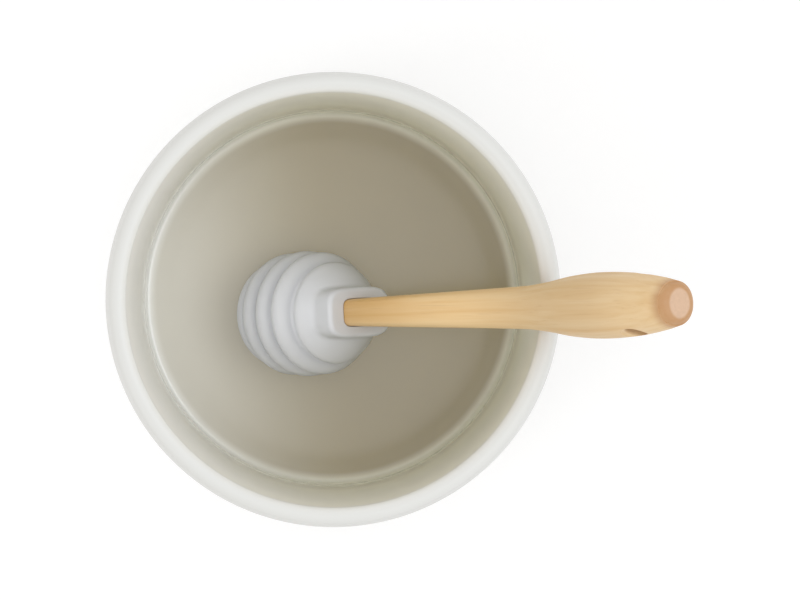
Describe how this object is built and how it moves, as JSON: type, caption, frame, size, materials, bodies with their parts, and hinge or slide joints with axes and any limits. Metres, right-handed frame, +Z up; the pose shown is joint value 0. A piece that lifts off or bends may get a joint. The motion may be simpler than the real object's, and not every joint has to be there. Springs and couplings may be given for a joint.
{
  "type": "honey pot",
  "caption": "Open ribbed stoneware honey pot with a ribbed silicone dipper on a wooden handle leaning over its lip.",
  "frame": {"origin": "centre of the pot's flat base, on the surface that it stands on", "axes": "+Z up along the pot's axis, +X towards the side where the dipper's handle leans out, +Y across"},
  "size_m": [0.1268, 0.104, 0.1336],
  "materials": {
    "glaze": "glossy white glaze outside, warm grey glaze inside",
    "silicone": "matte moulded silicone",
    "wood": "fine sanded pale hardwood with a thin oil finish"
  },
  "bodies": {
    "pot": {"pot_body": "glaze"},
    "dipper": {"dipper_head": "silicone", "dipper_handle": "wood"}
  },
  "joints": [
    {"name": "dipper_lift", "type": "slide", "parent": "pot", "child": "dipper", "axis": [0, 0, 1], "range_m": [0, 0.1]}
  ]
}
